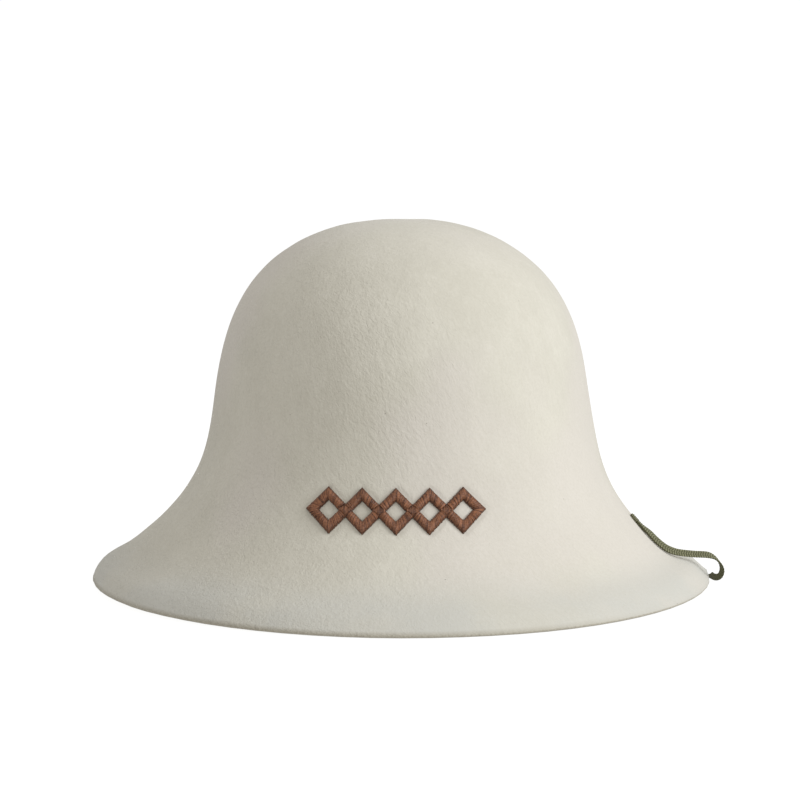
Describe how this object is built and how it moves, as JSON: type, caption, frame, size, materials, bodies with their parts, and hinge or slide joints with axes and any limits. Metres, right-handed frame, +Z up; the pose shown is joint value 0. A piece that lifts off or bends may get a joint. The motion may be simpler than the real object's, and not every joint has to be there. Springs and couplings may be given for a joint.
{
  "type": "sauna hat",
  "caption": "Bell-shaped felt hat with a round crown, a flared brim, an embroidered band of lozenges on the front and a braided hanging loop",
  "frame": {"origin": "Under the middle of the brim, on the surface the hat rests on", "axes": "+X to the wearer's left, where the loop is sewn; -Y to the front with the embroidery; +Z up"},
  "size_m": [0.2887, 0.3072, 0.1651],
  "materials": {
    "wool_felt": "matte off-white blocked wool felt",
    "braided_cord": "flat plaited cotton cord, olive",
    "satin_thread": "brown satin-stitch thread with a soft sheen"
  },
  "bodies": {
    "root": {"felt_body": "wool_felt", "hanging_loop": "braided_cord", "front_embroidery": "satin_thread"}
  },
  "joints": []
}
